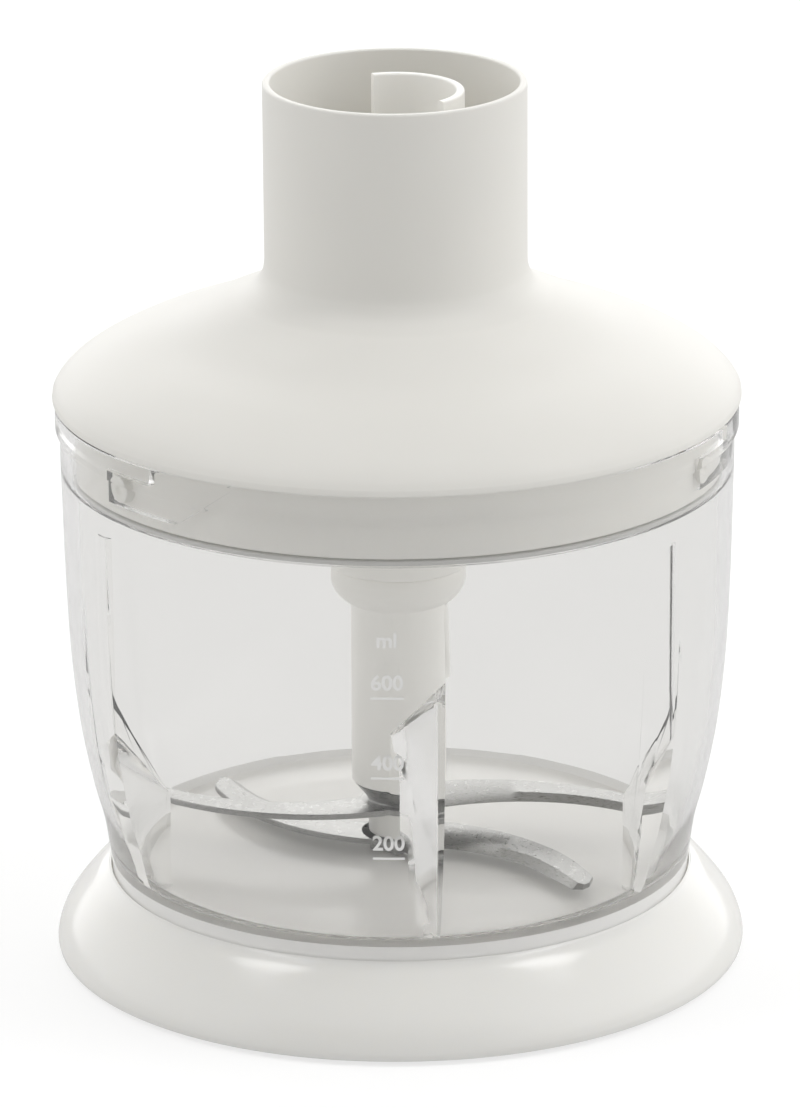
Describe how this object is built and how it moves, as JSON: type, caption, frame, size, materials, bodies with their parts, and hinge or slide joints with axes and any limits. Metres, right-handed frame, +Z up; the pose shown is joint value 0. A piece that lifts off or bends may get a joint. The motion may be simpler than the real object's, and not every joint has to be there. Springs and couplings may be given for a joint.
{
  "type": "food processor bowl attachment",
  "caption": "Hand blender chopper: a clear bowl with baffles on a frosted base, a bayonet lid with a planetary gear drive in its collar, and a sickle blade unit on a steel spindle.",
  "frame": {"origin": "on the surface it stands on, under the middle of the base", "axes": "+Z up along the axis that the bowl, the lid and the blade share; -Y is the front, the side with the scale"},
  "size_m": [0.142, 0.142, 0.1838],
  "materials": {
    "white_plastic": "fine satin texture",
    "clear_plastic": "clear, glossy",
    "frosted_plastic": "milky and translucent, satin",
    "soft_rubber": "matte",
    "hub_plastic": "satin",
    "grey_plastic": "satin",
    "gear_plastic": "satin, greased",
    "stainless_steel": "brushed",
    "bearing_bronze": "sintered, oiled"
  },
  "bodies": {
    "base": {"base_ring": "frosted_plastic", "grip_ring": "soft_rubber"},
    "bowl": {"bowl": "clear_plastic", "spindle": "stainless_steel"},
    "seal": {"lid_seal": "soft_rubber"},
    "lid": {"lid_shell": "white_plastic", "gear_housing": "white_plastic", "gearbox_cover": "white_plastic", "cover_screw_1": "stainless_steel", "cover_screw_2": "stainless_steel", "cover_screw_3": "stainless_steel", "ring_gear": "gear_plastic", "input_bush": "bearing_bronze", "output_bush": "bearing_bronze", "shaft_seal": "soft_rubber"},
    "input": {"input_coupling": "grey_plastic", "input_shaft": "stainless_steel", "sun_gear": "stainless_steel"},
    "output": {"carrier": "gear_plastic", "planet_pin_1": "stainless_steel", "planet_pin_2": "stainless_steel", "planet_pin_3": "stainless_steel", "output_shaft": "stainless_steel", "output_coupling": "hub_plastic"},
    "planet_1": {"planet_gear_1": "gear_plastic"},
    "planet_2": {"planet_gear_2": "gear_plastic"},
    "planet_3": {"planet_gear_3": "gear_plastic"},
    "bush": {"spindle_bush": "bearing_bronze"},
    "blade": {"blade_hub": "hub_plastic", "upper_blade": "stainless_steel", "blade_spacer": "hub_plastic", "lower_blade": "stainless_steel", "blade_nut": "stainless_steel"}
  },
  "joints": [
    {"name": "bowl_lift", "type": "slide", "parent": "base", "child": "bowl", "axis": [0, 0, 1], "range_m": [0, 0.04]},
    {"name": "lid_turn", "type": "hinge", "parent": "bowl", "child": "seal", "pos_m": [0, 0, 0.104], "axis": [0, 0, 1], "range_deg": [0, 12]},
    {"name": "lid_lift", "type": "slide", "parent": "seal", "child": "lid", "axis": [0, 0, 1], "range_m": [0, 0.16]},
    {"name": "blade_lift", "type": "slide", "parent": "bowl", "child": "bush", "axis": [0, 0, 1], "range_m": [0, 0.064]},
    {"name": "blade_spin", "type": "hinge", "parent": "bush", "child": "blade", "pos_m": [0, 0, 0.04], "axis": [0, 0, 1], "continuous": true},
    {"name": "input_spin", "type": "hinge", "parent": "lid", "child": "input", "pos_m": [0, 0, 0.15], "axis": [0, 0, 1], "continuous": true},
    {"name": "output_spin", "type": "hinge", "parent": "lid", "child": "output", "pos_m": [0, 0, 0.11], "axis": [0, 0, 1], "continuous": true},
    {"name": "planet_spin_1", "type": "hinge", "parent": "output", "child": "planet_1", "pos_m": [0.01215, 0, 0.123], "axis": [0, 0, 1], "continuous": true},
    {"name": "planet_spin_2", "type": "hinge", "parent": "output", "child": "planet_2", "pos_m": [-0.00607, 0.01052, 0.123], "axis": [0, 0, 1], "continuous": true},
    {"name": "planet_spin_3", "type": "hinge", "parent": "output", "child": "planet_3", "pos_m": [-0.00607, -0.01052, 0.123], "axis": [0, 0, 1], "continuous": true}
  ],
  "couplings": [
    {"joint": "blade_lift", "follows": "lid_lift", "ratio": 0.4},
    {"joint": "input_spin", "follows": "blade_spin", "ratio": 4.5},
    {"joint": "output_spin", "follows": "blade_spin", "ratio": 1},
    {"joint": "planet_spin_1", "follows": "blade_spin", "ratio": -2.8},
    {"joint": "planet_spin_2", "follows": "blade_spin", "ratio": -2.8},
    {"joint": "planet_spin_3", "follows": "blade_spin", "ratio": -2.8}
  ]
}
